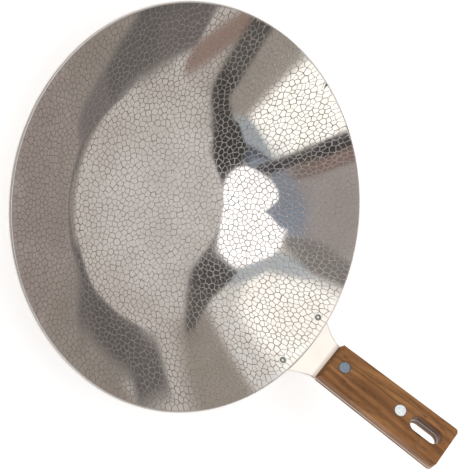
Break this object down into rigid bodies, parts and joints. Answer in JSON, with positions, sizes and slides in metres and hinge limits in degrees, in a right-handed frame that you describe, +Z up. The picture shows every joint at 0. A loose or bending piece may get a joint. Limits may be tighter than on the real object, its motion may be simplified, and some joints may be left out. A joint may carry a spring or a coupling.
{
  "type": "frying pan",
  "caption": "Wide shallow frying pan of patterned steel with curved flaring sides, a riveted steel bracket and an upswept wooden grip with a hanging slot.",
  "frame": {"origin": "centre of the bowl's flat underside, on the surface that the pan stands on", "axes": "+Z up out of the bowl; +X from the bowl's centre towards the grip; the grip's plane of near symmetry is XZ"},
  "size_m": [0.3754, 0.2796, 0.1358],
  "materials": {
    "bowl_steel": "satin, fine pressed crackle pattern inside",
    "bracket_steel": "polished",
    "rivet_steel": "satin",
    "wood": "oiled, satin"
  },
  "bodies": {
    "root": {"pan_bowl": "bowl_steel", "handle_bracket": "bracket_steel", "left_bowl_rivet": "rivet_steel", "right_bowl_rivet": "rivet_steel", "upper_grip_scale": "wood", "lower_grip_scale": "wood", "front_grip_rivet": "rivet_steel", "rear_grip_rivet": "rivet_steel"}
  },
  "joints": []
}
